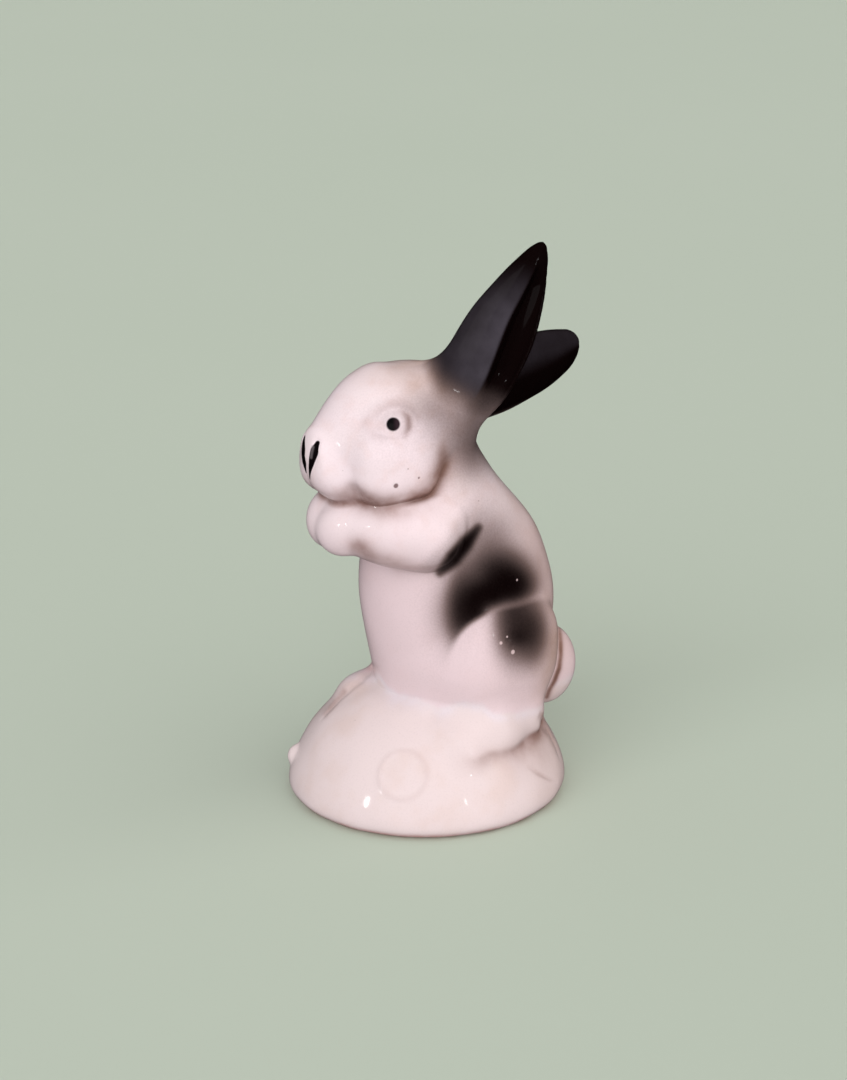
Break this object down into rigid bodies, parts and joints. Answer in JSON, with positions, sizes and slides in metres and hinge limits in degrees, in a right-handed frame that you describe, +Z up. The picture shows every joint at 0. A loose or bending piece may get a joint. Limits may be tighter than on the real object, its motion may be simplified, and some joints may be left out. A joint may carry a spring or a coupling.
{
  "type": "rabbit figurine",
  "caption": "Glazed ceramic rabbit sitting upright on a rounded mound, paws together under the chin, one ear up and one laid back; a free-standing ornament.",
  "frame": {"origin": "middle of the flat underside of the mound, on the surface it stands on", "axes": "+Z up through the rabbit; the rabbit looks along -Y; +X is the rabbit's left"},
  "size_m": [0.0712, 0.0853, 0.1441],
  "materials": {
    "white_glaze": "glossy pinkish-white glaze over a white body, with soft airbrushed black patches",
    "black_glaze": "glossy airbrushed black under clear glaze, fading to grey-brown at the root",
    "eye_glaze": "glossy white glaze with a painted black pupil"
  },
  "bodies": {
    "root": {"mound_base": "white_glaze", "torso_shell": "white_glaze", "head_shell": "white_glaze", "left_ear": "black_glaze", "right_ear": "black_glaze", "left_foreleg": "white_glaze", "right_foreleg": "white_glaze", "left_haunch": "white_glaze", "right_haunch": "white_glaze", "left_hind_foot": "white_glaze", "right_hind_foot": "white_glaze", "tail": "white_glaze", "left_eye": "eye_glaze", "right_eye": "eye_glaze"}
  },
  "joints": []
}
